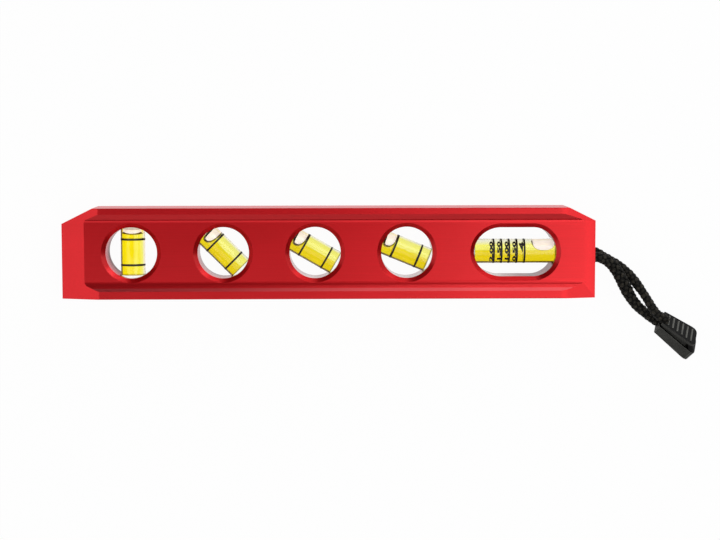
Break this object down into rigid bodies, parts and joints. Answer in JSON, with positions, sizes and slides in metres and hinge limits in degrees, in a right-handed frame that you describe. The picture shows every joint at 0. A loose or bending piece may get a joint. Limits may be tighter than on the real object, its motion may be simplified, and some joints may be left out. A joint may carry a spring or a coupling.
{
  "type": "pocket spirit level",
  "caption": "Pocket spirit level: a slim I-section aluminium bar with bubble vials set across its windows, magnets in its V-grooved base edge and a short cord loop with a clip.",
  "frame": {"origin": "on the back face, under the middle of the bar", "axes": "+X along the bar towards the cord, +Y from the grooved base edge to the top edge, +Z out of the front face"},
  "size_m": [0.2371, 0.0577, 0.0191],
  "materials": {
    "anodised_bar": "red anodised, satin, finely brushed along the bar",
    "acrylic": "clear polished acrylic",
    "liquid": "clear yellow liquid",
    "bubble": "air bubble in the liquid",
    "line": "black printed line",
    "magnet": "nickel plated",
    "pin": "plain turned",
    "cord": "black braided nylon",
    "clip": "black moulded plastic with raised ribs"
  },
  "bodies": {
    "level": {"bar": "anodised_bar", "vial_90_tube": "acrylic", "vial_90_plug": "acrylic", "vial_90_liquid": "liquid", "vial_90_line_1": "line", "vial_90_line_2": "line", "vial_45_tube": "acrylic", "vial_45_plug": "acrylic", "vial_45_liquid": "liquid", "vial_45_line_1": "line", "vial_45_line_2": "line", "vial_30_tube": "acrylic", "vial_30_plug": "acrylic", "vial_30_liquid": "liquid", "vial_30_line_1": "line", "vial_30_line_2": "line", "vial_22_tube": "acrylic", "vial_22_plug": "acrylic", "vial_22_liquid": "liquid", "vial_22_line_1": "line", "vial_22_line_2": "line", "vial_level_tube": "acrylic", "vial_level_plug": "acrylic", "vial_level_liquid": "liquid", "vial_level_line_1": "line", "vial_level_line_2": "line", "vial_level_line_3": "line", "vial_level_line_4": "line", "vial_level_line_5": "line", "magnet_1": "magnet", "magnet_2": "magnet", "magnet_3": "magnet", "magnet_4": "magnet", "cord_pin": "pin", "cord_bight": "cord", "cord_strand_upper": "cord", "cord_strand_lower": "cord", "clip_front": "clip", "clip_back": "clip"},
    "bubble_90": {"vial_90_bubble": "bubble"},
    "bubble_45": {"vial_45_bubble": "bubble"},
    "bubble_30": {"vial_30_bubble": "bubble"},
    "bubble_22": {"vial_22_bubble": "bubble"},
    "bubble_level": {"vial_level_bubble": "bubble"}
  },
  "joints": [
    {"name": "bubble_90_slide", "type": "slide", "parent": "level", "child": "bubble_90", "axis": [0, -1, 0], "range_m": [0, 0.01475]},
    {"name": "bubble_45_slide", "type": "slide", "parent": "level", "child": "bubble_45", "axis": [0.7071, -0.7071, 0], "range_m": [0, 0.01305]},
    {"name": "bubble_30_slide", "type": "slide", "parent": "level", "child": "bubble_30", "axis": [0.866, -0.5, 0], "range_m": [0, 0.01305]},
    {"name": "bubble_22_slide", "type": "slide", "parent": "level", "child": "bubble_22", "axis": [0.9239, -0.3827, 0], "range_m": [0, 0.01305]},
    {"name": "bubble_level_slide", "type": "slide", "parent": "level", "child": "bubble_level", "axis": [-1, 0, 0], "range_m": [0, 0.021]}
  ]
}
